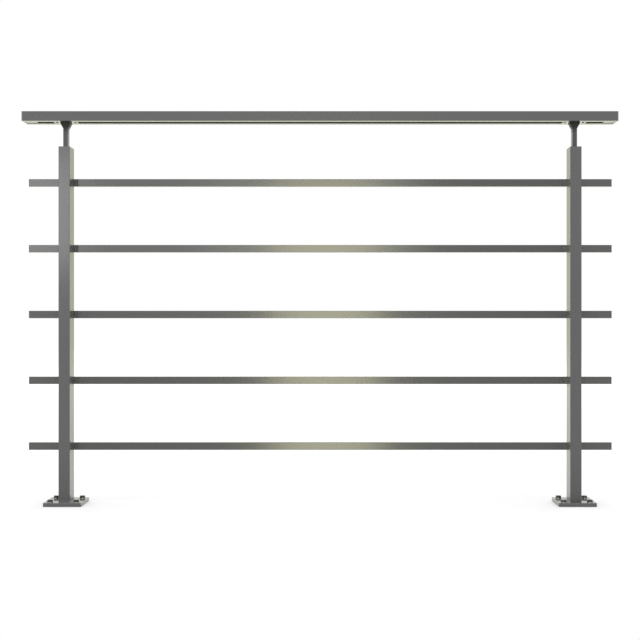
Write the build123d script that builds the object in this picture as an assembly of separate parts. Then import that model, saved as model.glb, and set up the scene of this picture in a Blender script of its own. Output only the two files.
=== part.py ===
from build123d import *
import os

# Aluminium railing. Two posts stand on bolted foot plates, five rails lie across the backs of
# the posts, and a handrail channel is carried above the posts on two flared stems.
# Millimetres. X runs along the railing, Y from front to back, Z up.
# The origin is on the underside of the left foot plate, at its centre.

# Layout of the whole railing
post_spacing = 1356.0
overall_height = 1043.5

# Foot plates, one under each post
plate_side = 100.0
plate_thickness = 10.0
plate_corner_radius = 1.0
plate_edge_chamfer = 0.3
bolt_spacing = 70.0
bolt_hole_diameter = 9.0

# Posts, rectangular tube
post_width = 30.0
post_depth = 50.0
post_wall = 2.0
post_corner_radius = 0.8

# Post caps, which close the tube and hold the stem
cap_thickness = 2.0
cap_edge_chamfer = 0.5
cap_plug_length = 24.0
cap_clearance = 0.25

# Rails, rectangular tube, fixed flat against the backs of the posts
rail_overhang = 106.75
rail_height = 20.0
rail_depth = 12.0
rail_wall = 1.5
rail_corner_radius = 0.5
rail_count = 5
lowest_rail_height = 151.25
top_rail_drop = 90.75

# Plugs in the ends of the rails
plug_head_thickness = 1.5
plug_head_chamfer = 0.25
plug_body_length = 12.0
plug_wall = 1.2
plug_clearance = 0.2

# Handrail, a channel with a slot along its underside
handrail_overhang = 111.25
handrail_depth = 62.0
handrail_height = 25.5
handrail_wall = 2.5
handrail_corner_radius = 0.6
slot_width = 25.0
slot_edge_radius = 0.5

# Caps on the ends of the handrail, each with a hollow plug and a tongue that fills the slot
end_cap_thickness = 4.0
end_cap_edge_chamfer = 0.4
end_cap_plug_length = 30.0
end_cap_plug_wall = 3.0
tongue_recess = 1.0
end_cap_clearance = 0.25

# Saddles, T-shaped plates that lie in the slot of the handrail
saddle_length = 62.0
saddle_lip_overlap = 7.5
saddle_flange_thickness = 3.0
saddle_clearance = 0.25
saddle_screw_spacing = 49.0
saddle_screw_diameter = 5.0

# Stems, flat bars that flare out under the saddles and carry the handrail clear of the posts
stem_free_height = 66.75
stem_width = 12.0
stem_depth = 20.0
stem_flare_width = 28.0
stem_flare_height = 14.5
stem_rim_height = 2.5
stem_edge_radius = 0.4
stem_length_in_post = 40.0
stem_clearance = 0.2

# Places worked out from the sizes above
post_places = {"left": 0.0, "right": post_spacing}
railing_middle = post_spacing / 2
handrail_length = post_spacing + 2 * handrail_overhang
handrail_underside = overall_height - handrail_height
handrail_middle_height = overall_height - handrail_height / 2
post_top_height = handrail_underside - stem_free_height
rail_length = post_spacing + 2 * rail_overhang
rail_middle_depth = post_depth / 2 + rail_depth / 2
rail_pitch = (post_top_height - top_rail_drop - lowest_rail_height) / (rail_count - 1)
rail_heights = [lowest_rail_height + number * rail_pitch for number in range(rail_count)]


def lengthways(profile, start, length):
    """A profile drawn in Y and Z, run along X from start."""
    return Pos(start, 0, 0) * extrude(Plane.YZ * profile, length)


def foot_plate(middle):
    """A square plate with rounded corners, a bevelled upper edge and four bolt holes."""
    outline = RectangleRounded(plate_side, plate_side, plate_corner_radius)
    plate = extrude(outline, plate_thickness)
    plate = chamfer(plate.faces().sort_by(Axis.Z)[-1].edges(), plate_edge_chamfer)
    hole = Cylinder(bolt_hole_diameter / 2, 4 * plate_thickness)
    plate -= GridLocations(bolt_spacing, bolt_spacing, 2, 2) * hole
    return Pos(middle, 0, 0) * plate


def post(middle):
    """A rectangular tube from the foot plate to the cap."""
    outline = RectangleRounded(post_width, post_depth, post_corner_radius)
    bore = Rectangle(post_width - 2 * post_wall, post_depth - 2 * post_wall)
    tube_length = post_top_height - cap_thickness - plate_thickness
    return Pos(middle, 0, plate_thickness) * extrude(outline - bore, tube_length)


def post_cap(middle):
    """A lid with bevelled edges over a plug that fills the top of the post round the stem."""
    outline = RectangleRounded(post_width, post_depth, post_corner_radius)
    lid = Pos(0, 0, post_top_height - cap_thickness) * extrude(outline, cap_thickness)
    lid = chamfer(lid.faces().sort_by(Axis.Z)[-1].edges(), cap_edge_chamfer)
    plug_outline = Rectangle(
        post_width - 2 * (post_wall + cap_clearance),
        post_depth - 2 * (post_wall + cap_clearance),
    )
    plug = Pos(0, 0, post_top_height - cap_thickness) * extrude(plug_outline, -cap_plug_length)
    bore_outline = Rectangle(stem_width + 2 * stem_clearance, stem_depth + 2 * stem_clearance)
    bore = Pos(0, 0, post_top_height) * extrude(bore_outline, -2 * (cap_thickness + cap_plug_length))
    return Pos(middle, 0, 0) * (lid + plug - bore)


def stem(middle):
    """A flat bar that stands in the post and flares out to a rim under the saddle."""
    bottom = post_top_height - stem_length_in_post
    rim_bottom = handrail_underside - stem_rim_height
    flare_bottom = rim_bottom - stem_flare_height
    half_bar = stem_width / 2
    half_flare = stem_flare_width / 2
    outline = Polyline(
        (-half_bar, bottom),
        (half_bar, bottom),
        (half_bar, flare_bottom),
        (half_flare, rim_bottom),
        (half_flare, handrail_underside),
        (-half_flare, handrail_underside),
        (-half_flare, rim_bottom),
        (-half_bar, flare_bottom),
        close=True,
    )
    bar = extrude(Plane.XZ * make_face(outline), stem_depth / 2, both=True)
    side_edges = bar.edges().filter_by(lambda edge: edge.bounding_box().size.Z > stem_edge_radius)
    bar = fillet(side_edges, stem_edge_radius)
    return Pos(middle, 0, 0) * bar


def saddle(middle):
    """A T-shaped plate: its web fills the slot flush, and its flange lies on the lips inside."""
    web = Rectangle(slot_width - 2 * saddle_clearance, handrail_wall)
    flange = Rectangle(slot_width + 2 * saddle_lip_overlap, saddle_flange_thickness)
    profile = Pos(0, handrail_underside + handrail_wall / 2) * web
    profile += Pos(0, handrail_underside + handrail_wall + saddle_flange_thickness / 2) * flange
    plate = lengthways(profile, middle - saddle_length / 2, saddle_length)
    screw_hole = Cylinder(saddle_screw_diameter / 2, 4 * (handrail_wall + saddle_flange_thickness))
    for side in (-1, 1):
        plate -= Pos(middle + side * saddle_screw_spacing / 2, 0, handrail_underside) * screw_hole
    return plate


def handrail():
    """A rounded channel with a slot along the middle of its underside."""
    outline = RectangleRounded(handrail_depth, handrail_height, handrail_corner_radius)
    bore = Rectangle(handrail_depth - 2 * handrail_wall, handrail_height - 2 * handrail_wall)
    slot = Pos(0, -handrail_height / 2) * Rectangle(slot_width, 3 * handrail_wall)
    profile = outline - bore - slot
    underside = profile.vertices().group_by(Axis.Y)[0]
    slot_edges = underside.filter_by(lambda corner: abs(corner.X) < slot_width / 2 + slot_edge_radius)
    profile = Pos(0, handrail_middle_height) * fillet(slot_edges, slot_edge_radius)
    length = handrail_length - 2 * end_cap_thickness
    return lengthways(profile, railing_middle - length / 2, length)


def handrail_end_cap(side):
    """A cover plate with a hollow plug in the channel and a tongue that fills the slot."""
    outline = RectangleRounded(handrail_depth, handrail_height, handrail_corner_radius)
    cover = lengthways(Pos(0, handrail_middle_height) * outline, 0, end_cap_thickness)
    cover = chamfer(cover.faces().sort_by(Axis.X)[0].edges(), end_cap_edge_chamfer)
    plug_depth = handrail_depth - 2 * (handrail_wall + end_cap_clearance)
    plug_height = handrail_height - 2 * (handrail_wall + end_cap_clearance)
    tongue_top = handrail_underside + handrail_wall + end_cap_clearance
    tongue_height = tongue_top - handrail_underside - tongue_recess
    ring = Rectangle(plug_depth, plug_height)
    ring -= Rectangle(plug_depth - 2 * end_cap_plug_wall, plug_height - 2 * end_cap_plug_wall)
    tongue = Rectangle(slot_width - 2 * end_cap_clearance, tongue_height)
    profile = Pos(0, handrail_middle_height) * ring
    profile += Pos(0, tongue_top - tongue_height / 2) * tongue
    plug = lengthways(profile, end_cap_thickness, end_cap_plug_length)
    cap = Pos(-handrail_length / 2, 0, 0) * (cover + plug)
    if side == "right":
        cap = mirror(cap, about=Plane.YZ)
    return Pos(railing_middle, 0, 0) * cap


def rail(height):
    """A rectangular tube across the backs of both posts."""
    outline = RectangleRounded(rail_depth, rail_height, rail_corner_radius)
    bore = Rectangle(rail_depth - 2 * rail_wall, rail_height - 2 * rail_wall)
    length = rail_length - 2 * plug_head_thickness
    profile = Pos(rail_middle_depth, height) * (outline - bore)
    return lengthways(profile, railing_middle - length / 2, length)


def rail_plug(side, height):
    """A plug with a hollow body and a bevelled head that covers the end of a rail."""
    outline = RectangleRounded(rail_depth, rail_height, rail_corner_radius)
    body_depth = rail_depth - 2 * (rail_wall + plug_clearance)
    body_height = rail_height - 2 * (rail_wall + plug_clearance)
    ring = Rectangle(body_depth, body_height)
    ring -= Rectangle(body_depth - 2 * plug_wall, body_height - 2 * plug_wall)
    place = Pos(rail_middle_depth, height)
    head = lengthways(place * outline, 0, plug_head_thickness)
    head = chamfer(head.faces().sort_by(Axis.X)[0].edges(), plug_head_chamfer)
    body = lengthways(place * ring, plug_head_thickness, plug_body_length)
    plug = Pos(-rail_length / 2, 0, 0) * (head + body)
    if side == "right":
        plug = mirror(plug, about=Plane.YZ)
    return Pos(railing_middle, 0, 0) * plug


def write(name, shape):
    """One STEP file for each named piece."""
    shape.label = name
    export_step(shape, f"parts/{name}.step")


os.makedirs("parts", exist_ok=True)
for side, middle in post_places.items():
    write(f"{side}_foot_plate", foot_plate(middle))
    write(f"{side}_post", post(middle))
    write(f"{side}_post_cap", post_cap(middle))
    write(f"{side}_stem", stem(middle))
    write(f"{side}_saddle", saddle(middle))
    write(f"{side}_handrail_cap", handrail_end_cap(side))
write("handrail", handrail())
for number, height in enumerate(rail_heights, start=1):
    write(f"rail_{number}", rail(height))
    for side in post_places:
        write(f"rail_{number}_{side}_plug", rail_plug(side, height))
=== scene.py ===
import math
import bpy
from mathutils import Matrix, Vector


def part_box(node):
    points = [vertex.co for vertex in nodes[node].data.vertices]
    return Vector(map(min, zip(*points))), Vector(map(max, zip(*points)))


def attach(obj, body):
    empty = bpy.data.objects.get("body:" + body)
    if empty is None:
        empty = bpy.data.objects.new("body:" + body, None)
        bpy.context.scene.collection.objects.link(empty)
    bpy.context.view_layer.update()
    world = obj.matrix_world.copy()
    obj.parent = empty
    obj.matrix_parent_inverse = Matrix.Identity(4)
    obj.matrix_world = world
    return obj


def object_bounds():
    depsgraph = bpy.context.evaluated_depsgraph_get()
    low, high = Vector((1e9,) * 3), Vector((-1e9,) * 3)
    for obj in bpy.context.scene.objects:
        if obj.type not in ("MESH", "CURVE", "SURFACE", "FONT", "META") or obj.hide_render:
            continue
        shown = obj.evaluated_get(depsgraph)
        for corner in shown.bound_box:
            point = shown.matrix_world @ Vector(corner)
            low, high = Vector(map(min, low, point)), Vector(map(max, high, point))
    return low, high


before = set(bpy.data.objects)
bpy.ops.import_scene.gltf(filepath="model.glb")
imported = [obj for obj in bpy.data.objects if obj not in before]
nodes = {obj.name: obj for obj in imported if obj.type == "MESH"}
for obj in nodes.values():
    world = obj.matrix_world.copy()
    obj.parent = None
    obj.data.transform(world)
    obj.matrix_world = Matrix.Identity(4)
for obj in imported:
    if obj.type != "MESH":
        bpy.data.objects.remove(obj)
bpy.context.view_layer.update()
print("frame loaded:", len(nodes), "nodes")


def middleOfRailing():
    low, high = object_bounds()
    return (low[0] + high[0]) / 2


class Wire:
    # a socket that can stand in a sum, so that shader maths reads as plain sums
    def __init__(self, board, socket):
        self.board = board
        self.socket = socket

    def maths(self, operation, first, second):
        return self.board.add("ShaderNodeMath", {"operation": operation}, {0: first, 1: second})

    def __add__(self, other):
        return self.maths("ADD", self, other)

    def __radd__(self, other):
        return self.maths("ADD", other, self)

    def __sub__(self, other):
        return self.maths("SUBTRACT", self, other)

    def __rsub__(self, other):
        return self.maths("SUBTRACT", other, self)

    def __mul__(self, other):
        return self.maths("MULTIPLY", self, other)

    def __rmul__(self, other):
        return self.maths("MULTIPLY", other, self)


class Board:
    # the node tree of one material or world
    def __init__(self, owner):
        owner.use_nodes = True
        self.tree = owner.node_tree
        self.tree.nodes.clear()

    def add(self, kind, settings=None, values=None, output=0):
        node = self.tree.nodes.new(kind)
        for name, setting in (settings or {}).items():
            setattr(node, name, setting)
        for name, value in (values or {}).items():
            socket = node.inputs[name]
            if isinstance(value, Wire):
                self.tree.links.new(value.socket, socket)
            else:
                socket.default_value = value
        return Wire(self, node.outputs[output]) if len(node.outputs) else None

    def mixColour(self, factor, first, second, blend="MIX"):
        settings = {"data_type": "RGBA", "blend_type": blend}
        return self.add("ShaderNodeMix", settings, {0: factor, 6: first, 7: second}, output=2)

    def between(self, value, low, high):
        # 0 at low, 1 at high and a straight slope between them
        values = {"Value": value, "From Min": low, "From Max": high}
        return self.add("ShaderNodeMapRange", {}, values)


def colour(red, green, blue):
    return (red, green, blue, 1.0)


def noise(board, place, scale, detail=3.0):
    values = {"Vector": place, "Scale": scale, "Detail": detail}
    return board.add("ShaderNodeTexNoise", {}, values)


def objectPlace(board, stretch=(1.0, 1.0, 1.0)):
    place = board.add("ShaderNodeTexCoord", output="Object")
    return board.add("ShaderNodeMapping", {}, {"Vector": place, "Scale": stretch})


def axisOf(board, place, axis):
    return board.add("ShaderNodeSeparateXYZ", {}, {"Vector": place}, output=axis)


# Finishes of the metals, most of them as changes of the first one
satinGrey = {
    "colour": colour(0.054, 0.054, 0.058),
    "lighter": colour(0.061, 0.061, 0.065),
    "metallic": 0.3,
    "specular": 0.15,
    "roughness": 0.45,
    "lineRoughness": 0.08,
    "cloudRoughness": 0.06,
    "coat": 0.95,
    "coatRoughness": 0.13,
    "lineDetail": 2.0,
    "cloudScale": 9.0,
    "cloudDetail": 4.0,
    "cloudStrength": 0.8,
    "speckScale": 900.0,
    "speckDetail": 2.0,
    "bump": 0.06,
    "bumpDepth": 0.0002,
    "lineBump": 0.7,
    "speckBump": 0.3,
}

railGrey = dict(
    satinGrey,
    colour=colour(0.047, 0.047, 0.050),
    lighter=colour(0.053, 0.053, 0.056),
)

postGrey = dict(
    satinGrey,
    colour=colour(0.059, 0.059, 0.064),
    lighter=colour(0.067, 0.067, 0.072),
)

plateGrey = dict(
    satinGrey,
    colour=colour(0.074, 0.074, 0.077),
    lighter=colour(0.086, 0.086, 0.088),
    metallic=0.1,
)

# painted shade under the handrail, from just below the flare to near black a little way up it
stemGrey = dict(
    satinGrey,
    colour=colour(0.034, 0.034, 0.037),
    lighter=colour(0.040, 0.040, 0.043),
    coat=0.78,
    coatRoughness=0.10,
    shadeFrom=0.988,
    shadeTo=1.005,
    shadeColour=colour(0.020, 0.020, 0.020),
    shadeCoat=0.1,
)

stainless = dict(
    satinGrey,
    colour=colour(0.42, 0.42, 0.41),
    lighter=colour(0.50, 0.50, 0.49),
    metallic=1.0,
    roughness=0.25,
    specular=0.5,
    coat=0.0,
)

darkSteel = dict(
    stainless,
    colour=colour(0.045, 0.045, 0.046),
    lighter=colour(0.07, 0.07, 0.07),
    roughness=0.22,
)

greyPlastic = {
    "colour": colour(0.07, 0.07, 0.07),
    "lighter": colour(0.085, 0.085, 0.084),
    "roughness": 0.45,
    "grainScale": 1500.0,
    "grainRoughness": 0.1,
    "cloudScale": 40.0,
    "bump": 0.15,
    "bumpDepth": 0.0002,
}

# How finely the drawn lines run along each axis
alongX = (3.0, 700.0, 700.0)
alongZ = (700.0, 700.0, 3.0)
evenGrain = (350.0, 350.0, 350.0)


def metal(name, look, grain):
    # metal with drawn lines along the profile, faint clouds and fine specks
    material = bpy.data.materials.new(name)
    board = Board(material)
    lines = noise(board, objectPlace(board, grain), 1.0, look["lineDetail"])
    clouds = noise(board, objectPlace(board), look["cloudScale"], look["cloudDetail"])
    specks = noise(board, objectPlace(board), look["speckScale"], look["speckDetail"])
    tone = board.mixColour(clouds * look["cloudStrength"], look["colour"], look["lighter"])
    coat = look["coat"]
    # painted shade: between two heights the tone darkens and the coat thins
    if "shadeFrom" in look:
        height = axisOf(board, objectPlace(board), "Z")
        shade = board.between(height, look["shadeFrom"], look["shadeTo"])
        tone = board.mixColour(shade, tone, look["shadeColour"])
        coat = coat - shade * (coat - look["shadeCoat"])
    rough = look["roughness"] + (lines - 0.5) * look["lineRoughness"]
    rough = rough + (clouds - 0.5) * look["cloudRoughness"]
    bump = board.add("ShaderNodeBump", {}, {
        "Strength": look["bump"],
        "Distance": look["bumpDepth"],
        "Height": lines * look["lineBump"] + specks * look["speckBump"],
    })
    shader = board.add("ShaderNodeBsdfPrincipled", {}, {
        "Base Color": tone,
        "Metallic": look["metallic"],
        "Roughness": rough,
        "Specular IOR Level": look["specular"],
        "Coat Weight": coat,
        "Coat Roughness": look["coatRoughness"],
        "Normal": bump,
    })
    board.add("ShaderNodeOutputMaterial", {}, {"Surface": shader})
    return material


def plastic(name, look):
    # matt moulded plastic with a fine grain
    material = bpy.data.materials.new(name)
    board = Board(material)
    grain = noise(board, objectPlace(board), look["grainScale"])
    clouds = noise(board, objectPlace(board), look["cloudScale"])
    bump = board.add("ShaderNodeBump", {}, {
        "Strength": look["bump"],
        "Distance": look["bumpDepth"],
        "Height": grain,
    })
    shader = board.add("ShaderNodeBsdfPrincipled", {}, {
        "Base Color": board.mixColour(clouds, look["colour"], look["lighter"]),
        "Roughness": look["roughness"] + (grain - 0.5) * look["grainRoughness"],
        "Normal": bump,
    })
    board.add("ShaderNodeOutputMaterial", {}, {"Surface": shader})
    return material


def dressNode(name, material):
    slots = nodes[name].material_slots
    if len(slots) == 0:
        nodes[name].data.materials.append(material)
    for slot in slots:
        slot.material = material


def dressNodes():
    handrailFinish = metal("satinGreyHandrail", satinGrey, alongX)
    railFinish = metal("satinGreyRail", railGrey, alongX)
    postFinish = metal("satinGreyPost", postGrey, alongZ)
    plateFinish = metal("satinGreyPlate", plateGrey, evenGrain)
    stemFinish = metal("satinGreyStem", stemGrey, alongZ)
    saddleSteel = metal("stainlessSaddle", stainless, alongX)
    plugGrey = plastic("greyPlug", greyPlastic)
    for name in nodes:
        if name.endswith("_plug"):
            dressNode(name, plugGrey)
        elif name.endswith("_stem"):
            dressNode(name, stemFinish)
        elif name.endswith("_saddle"):
            dressNode(name, saddleSteel)
        elif name.endswith("_post"):
            dressNode(name, postFinish)
        elif name.endswith(("_foot_plate", "_post_cap", "_handrail_cap")):
            dressNode(name, plateFinish)
        elif name.startswith("rail_"):
            dressNode(name, railFinish)
        else:
            dressNode(name, handrailFinish)
    print("nodes dressed")


softenAngle = math.radians(25)
smoothAngle = math.radians(30)
mergeWithin = 0.000001


def choose(piece):
    bpy.ops.object.select_all(action="DESELECT")
    piece.select_set(True)
    bpy.context.view_layer.objects.active = piece


def addRound(name, radius, depth, centre, vertices=64):
    bpy.ops.object.select_all(action="DESELECT")
    bpy.ops.mesh.primitive_cylinder_add(
        vertices=vertices,
        radius=radius,
        depth=depth,
        location=centre,
    )
    bpy.context.object.name = name
    return bpy.context.object


def combine(piece, other, operation):
    choose(piece)
    cut = piece.modifiers.new("combine", "BOOLEAN")
    cut.operation = operation
    cut.object = other
    bpy.ops.object.modifier_apply(modifier=cut.name)
    bpy.data.objects.remove(other)


def softenEdges(piece, width, segments=2):
    choose(piece)
    soft = piece.modifiers.new("soften", "BEVEL")
    soft.width = width
    soft.segments = segments
    soft.limit_method = "ANGLE"
    soft.angle_limit = softenAngle
    bpy.ops.object.modifier_apply(modifier=soft.name)


def settle(piece):
    # puts the place into the mesh, with the faces outwards and the flat faces flat
    choose(piece)
    bpy.ops.object.transform_apply(location=True, rotation=True, scale=True)
    bpy.ops.object.mode_set(mode="EDIT")
    bpy.ops.mesh.select_all(action="SELECT")
    bpy.ops.mesh.remove_doubles(threshold=mergeWithin)
    bpy.ops.mesh.normals_make_consistent(inside=False)
    bpy.ops.object.mode_set(mode="OBJECT")
    bpy.ops.object.shade_smooth_by_angle(angle=smoothAngle)
    piece.select_set(False)


def copyPiece(piece, name, place, turn=0.0):
    other = piece.copy()
    other.data = piece.data.copy()
    other.name = name
    other.location = place
    other.rotation_euler = (0, 0, math.radians(turn))
    bpy.context.scene.collection.objects.link(other)
    choose(other)
    bpy.ops.object.transform_apply(location=True, rotation=True, scale=True)
    other.select_set(False)
    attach(other, "root")
    return other


footWasher = {
    "radius": 0.008,
    "holeRadius": 0.0042,
    "thickness": 0.0016,
    "edge": 0.0002,
}


def makeFootWasher():
    # lies with its top at z = 0
    thick = footWasher["thickness"]
    washer = addRound("footWasher", footWasher["radius"], thick, (0, 0, -thick / 2))
    bore = addRound("bore", footWasher["holeRadius"], 4 * thick, (0, 0, 0))
    combine(washer, bore, "DIFFERENCE")
    softenEdges(washer, footWasher["edge"])
    settle(washer)
    return washer


footBolt = {
    "sides": 6,
    "acrossFlats": 0.013,
    "headHeight": 0.0053,
    "chamferFlat": 0.92,       # the round flat on top, as a share of the width across flats
    "chamferSlope": 30,        # degrees
    "chamferSides": 96,
    "shankRadius": 0.004,
    "shankInHead": 0.0015,
    "shankClear": 0.0005,      # from its end to the plate's underside
    "edge": 0.00015,
    "fromMiddle": 0.035,
    "turns": {"left": (30, 4, 12, 25), "right": (18, 27, 6, 14)},      # degrees
}


def makeFootBolt(plateThickness):
    # stands on a washer whose top is at z = 0: a chamfered hexagon with its shank below
    tall = footBolt["headHeight"]
    halfFlats = footBolt["acrossFlats"] / 2
    toCorner = halfFlats / math.cos(math.pi / footBolt["sides"])
    bolt = addRound("footBolt", toCorner, tall, (0, 0, tall / 2), footBolt["sides"])
    top = halfFlats * footBolt["chamferFlat"]
    bpy.ops.object.select_all(action="DESELECT")
    bpy.ops.mesh.primitive_cone_add(
        vertices=footBolt["chamferSides"],
        radius1=top + tall / math.tan(math.radians(footBolt["chamferSlope"])),
        radius2=top,
        depth=tall,
        location=(0, 0, tall / 2),
    )
    combine(bolt, bpy.context.object, "INTERSECT")
    shankTop = footBolt["shankInHead"]
    depth = shankTop + footWasher["thickness"] + plateThickness - footBolt["shankClear"]
    shank = addRound("shank", footBolt["shankRadius"], depth, (0, 0, shankTop - depth / 2))
    combine(bolt, shank, "UNION")
    softenEdges(bolt, footBolt["edge"])
    settle(bolt)
    return bolt


saddleScrew = {
    "headRadius": 0.0038,
    "headHeight": 0.0022,
    "dome": 0.0009,
    "domeSteps": 4,
    "socketSides": 6,
    "socketRadius": 0.0014,
    "socketDepth": 0.0013,
    "shankSides": 32,
    "shankRadius": 0.0019,
    "shankLength": 0.0062,
    "shankInHead": 0.0004,
    "fromPost": 0.0245,
    "turn": 20,                # degrees
}


def makeSaddleScrew():
    # hangs under the saddle, whose underside is at z = 0
    tall = saddleScrew["headHeight"]
    screw = addRound("saddleScrew", saddleScrew["headRadius"], tall, (0, 0, -tall / 2))
    softenEdges(screw, saddleScrew["dome"], saddleScrew["domeSteps"])
    depth = 2 * saddleScrew["socketDepth"]
    radius = saddleScrew["socketRadius"]
    socket = addRound("socket", radius, depth, (0, 0, -tall), saddleScrew["socketSides"])
    combine(screw, socket, "DIFFERENCE")
    length = saddleScrew["shankLength"]
    centre = (0, 0, length / 2 - saddleScrew["shankInHead"])
    radius = saddleScrew["shankRadius"]
    shank = addRound("shank", radius, length, centre, saddleScrew["shankSides"])
    combine(screw, shank, "UNION")
    settle(screw)
    return screw


def addFasteners():
    low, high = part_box("left_foot_plate")
    boltSeat = high[2] + footWasher["thickness"]
    bolt = makeFootBolt(high[2] - low[2])
    washer = makeFootWasher()
    screw = makeSaddleScrew()
    boltFinish = metal("darkSteelBolt", darkSteel, evenGrain)
    washerFinish = metal("stainlessWasher", stainless, evenGrain)
    for piece, finish in ((bolt, boltFinish), (washer, washerFinish), (screw, washerFinish)):
        piece.data.materials.clear()
        piece.data.materials.append(finish)
    away = footBolt["fromMiddle"]
    corners = ((-away, -away), (away, -away), (-away, away), (away, away))
    for side, turns in footBolt["turns"].items():
        low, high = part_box(side + "_foot_plate")
        middle = (low[0] + high[0]) / 2
        for number, (corner, turn) in enumerate(zip(corners, turns), 1):
            seat = (middle + corner[0], corner[1], boltSeat)
            copyPiece(bolt, side + "_bolt_" + str(number), seat, turn)
            copyPiece(washer, side + "_washer_" + str(number), seat)
        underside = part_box(side + "_saddle")[0][2]
        for number, way in enumerate((-1, 1), 1):
            name = side + "_saddle_screw_" + str(number)
            seat = (middle + way * saddleScrew["fromPost"], 0, underside)
            copyPiece(screw, name, seat, way * saddleScrew["turn"])
    for piece in (bolt, washer, screw):
        bpy.data.objects.remove(piece)
    print("bolts, washers and saddle screws added")


# The photo was taken head-on with a level camera, a little to the right of the middle
camera = {
    "fromMiddle": 0.04455,             # metres to the right of the railing's middle
    "distance": 3.045,                 # metres in front of the posts' middle plane
    "height": 0.4976,
    "framePixels": 640,
    "focalPixels": 1140.0,
    "axisPixel": (336.85, 317.57),     # where the lens axis meets the picture
    "sensor": 36.0,
    "farthest": 100.0,
}


def addCamera():
    pixels = camera["framePixels"]
    data = bpy.data.cameras.new("camera")
    data.sensor_width = camera["sensor"]
    data.lens = camera["focalPixels"] / pixels * camera["sensor"]
    data.shift_x = (pixels / 2 - camera["axisPixel"][0]) / pixels
    data.shift_y = (camera["axisPixel"][1] - pixels / 2) / pixels
    data.clip_end = camera["farthest"]
    eye = bpy.data.objects.new("camera", data)
    across = middleOfRailing() + camera["fromMiddle"]
    eye.location = (across, -camera["distance"], camera["height"])
    eye.rotation_euler = (math.radians(90), 0, 0)
    bpy.context.scene.collection.objects.link(eye)
    bpy.context.scene.camera = eye
    print("camera placed")


# Soft lamps: the one overhead lights the tops, those in front are what the rails, posts and
# stems mirror, and those behind light the back and aren't mirrored. Turns are in degrees.
lampPlan = {
    "overhead": {"at": (0.6, -0.6, 4.2), "size": (4.0, 3.0), "turn": (8, 0, 0), "watts": 60.0},
    "warmStrip": {
        "at": (0.62, -7.0, 0.25), "size": (0.95, 3.1), "turn": (90, 0, 0), "watts": 71.0,
        "colour": (1.0, 0.98, 0.64),
    },
    "middleSoft": {
        "at": (0.5, -7.0, 1.3), "size": (1.9, 1.1), "turn": (90, 0, 0), "watts": 15.0,
        "colour": (1.0, 1.0, 0.92),
    },
    "upperLeft": {"at": (-2.0, -7.0, 1.45), "size": (0.95, 1.0), "turn": (90, 0, 0), "watts": 13.0},
    "leftSoft": {"at": (-0.75, -7.0, 1.3), "size": (1.5, 1.4), "turn": (90, 0, 0), "watts": 7.0},
    "leftTall": {"at": (-2.4, -7.0, 0.4), "size": (1.4, 3.6), "turn": (90, 0, 0), "watts": 9.0},
    "rightTall": {"at": (3.5, -7.0, 0.6), "size": (1.2, 4.0), "turn": (90, 0, 0), "watts": 7.0},
    "upperRight": {"at": (3.3, -7.0, 1.5), "size": (0.9, 0.9), "turn": (90, 0, 0), "watts": 7.0},
    "upperBand": {"at": (0.7, -7.0, 2.4), "size": (6.5, 0.7), "turn": (90, 0, 0), "watts": 8.0},
    "backLeft": {
        "at": (-5.0, 6.0, 2.6), "size": (3.0, 3.0), "turn": (-68, 0, 43), "watts": 120.0,
        "mirrored": False,
    },
    "backRight": {
        "at": (6.4, 6.0, 2.6), "size": (3.0, 3.0), "turn": (-68, 0, -43), "watts": 120.0,
        "mirrored": False,
    },
}


def addLamps():
    for name, plan in lampPlan.items():
        data = bpy.data.lights.new(name, "AREA")
        data.shape = "RECTANGLE"
        data.size, data.size_y = plan["size"]
        data.energy = plan["watts"]
        data.color = plan.get("colour", (1.0, 1.0, 1.0))
        lamp = bpy.data.objects.new(name, data)
        lamp.location = plan["at"]
        lamp.rotation_euler = [math.radians(angle) for angle in plan["turn"]]
        lamp.visible_camera = False
        lamp.visible_glossy = plan.get("mirrored", True)
        bpy.context.scene.collection.objects.link(lamp)
    print("lamps placed")


studio = {
    "worldLight": 0.95,        # what the sky gives to matt surfaces
    "mirrorLight": 1.0,        # what shows in polished metal
    "mirrorTint": (1.0, 1.0, 0.78),
    "warmTurn": 0.2,           # the sky turns warm towards the back over this much either way
    "warmTop": 0.144,          # and the warmth ends upwards between these two slopes
    "warmGone": 0.156,
    "floorColour": 0.66,
    "nearLift": 0.23,          # brings the lit floor up to the white of the backdrop
    "farLift": 0.44,
    "nearTint": 0.3,           # how warm the floor is in polished metal
    "farTint": 0.8,
    "nearWithin": 2.0,         # metres from the left foot plate to which the near ones hold
    "farFrom": 5.0,            # and from which the far ones hold
    "floorFront": -0.7,
    "floorBack": 14.0,
    "floorReach": 9.0,
    "floorDrop": 0.0002,
}


def seesBackdrop(board):
    # 1 for what the camera sees directly, in a mirror or through glass
    straight = board.add("ShaderNodeLightPath", output="Is Camera Ray")
    inMirror = board.add("ShaderNodeLightPath", output="Is Glossy Ray")
    through = board.add("ShaderNodeLightPath", output="Is Transmission Ray")
    seen = straight + inMirror + through
    return board.add("ShaderNodeMath", {"operation": "MINIMUM"}, {0: seen, 1: 1.0})


def backdropWhite(board, share):
    # plain white to the camera and faintly warm in polished metal
    inMirror = board.add("ShaderNodeLightPath", output="Is Glossy Ray")
    return board.mixColour(inMirror * share, colour(1, 1, 1), colour(*studio["mirrorTint"]))


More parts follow.
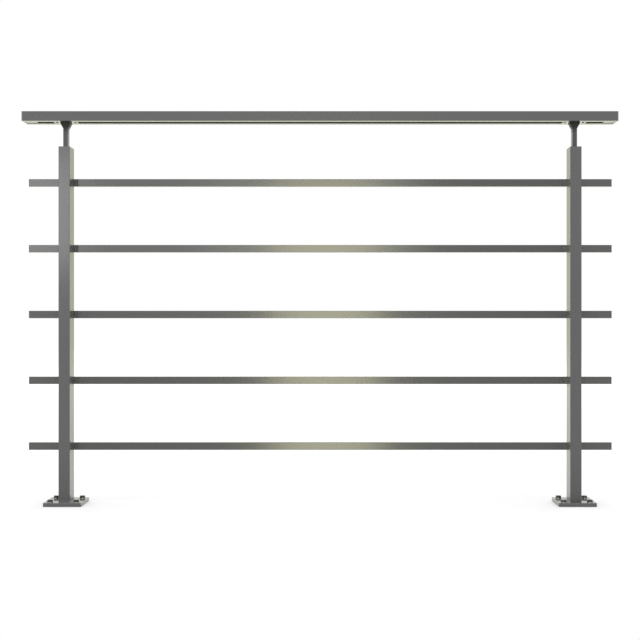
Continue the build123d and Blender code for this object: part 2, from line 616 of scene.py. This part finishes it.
def makeWorld():
    world = bpy.data.worlds.new("studio")
    bpy.context.scene.world = world
    board = Board(world)
    strength = seesBackdrop(board) * (studio["mirrorLight"] - studio["worldLight"])
    strength = strength + studio["worldLight"]
    # only a low band behind the railing is warm
    way = board.add("ShaderNodeTexCoord", output="Generated")
    behind = board.between(axisOf(board, way, "Y"), -studio["warmTurn"], studio["warmTurn"])
    lowDown = board.between(axisOf(board, way, "Z"), studio["warmGone"], studio["warmTop"])
    background = board.add("ShaderNodeBackground", {}, {
        "Color": backdropWhite(board, behind * lowDown),
        "Strength": strength,
    })
    board.add("ShaderNodeOutputWorld", {}, {"Surface": background})


def makeFloor():
    depth = studio["floorBack"] - studio["floorFront"]
    middle = (studio["floorBack"] + studio["floorFront"]) / 2
    bpy.ops.object.select_all(action="DESELECT")
    bpy.ops.mesh.primitive_plane_add(
        size=1.0,
        location=(middleOfRailing(), middle, -studio["floorDrop"]),
    )
    floor = bpy.context.object
    floor.name = "floor"
    floor.scale = (2 * studio["floorReach"], depth, 1.0)
    bpy.ops.object.transform_apply(location=True, rotation=True, scale=True)
    material = bpy.data.materials.new("paleFloor")
    board = Board(material)
    place = objectPlace(board)
    away = board.add("ShaderNodeVectorMath", {"operation": "LENGTH"}, {0: place}, "Value")
    far = board.between(away, studio["nearWithin"], studio["farFrom"])
    tint = far * (studio["farTint"] - studio["nearTint"]) + studio["nearTint"]
    strength = far * (studio["farLift"] - studio["nearLift"]) + studio["nearLift"]
    white = backdropWhite(board, tint)
    grey = studio["floorColour"]
    tone = board.mixColour(1.0, white, colour(grey, grey, grey), "MULTIPLY")
    matt = board.add("ShaderNodeBsdfDiffuse", {}, {"Color": tone})
    lift = board.add("ShaderNodeEmission", {}, {
        "Color": white,
        "Strength": seesBackdrop(board) * strength,
    })
    both = board.add("ShaderNodeAddShader", {}, {0: matt, 1: lift})
    board.add("ShaderNodeOutputMaterial", {}, {"Surface": both})
    floor.data.materials.append(material)
    print("studio built")


bpy.context.scene.view_settings.view_transform = "Standard"
addCamera()
addLamps()
makeWorld()
makeFloor()
dressNodes()
addFasteners()
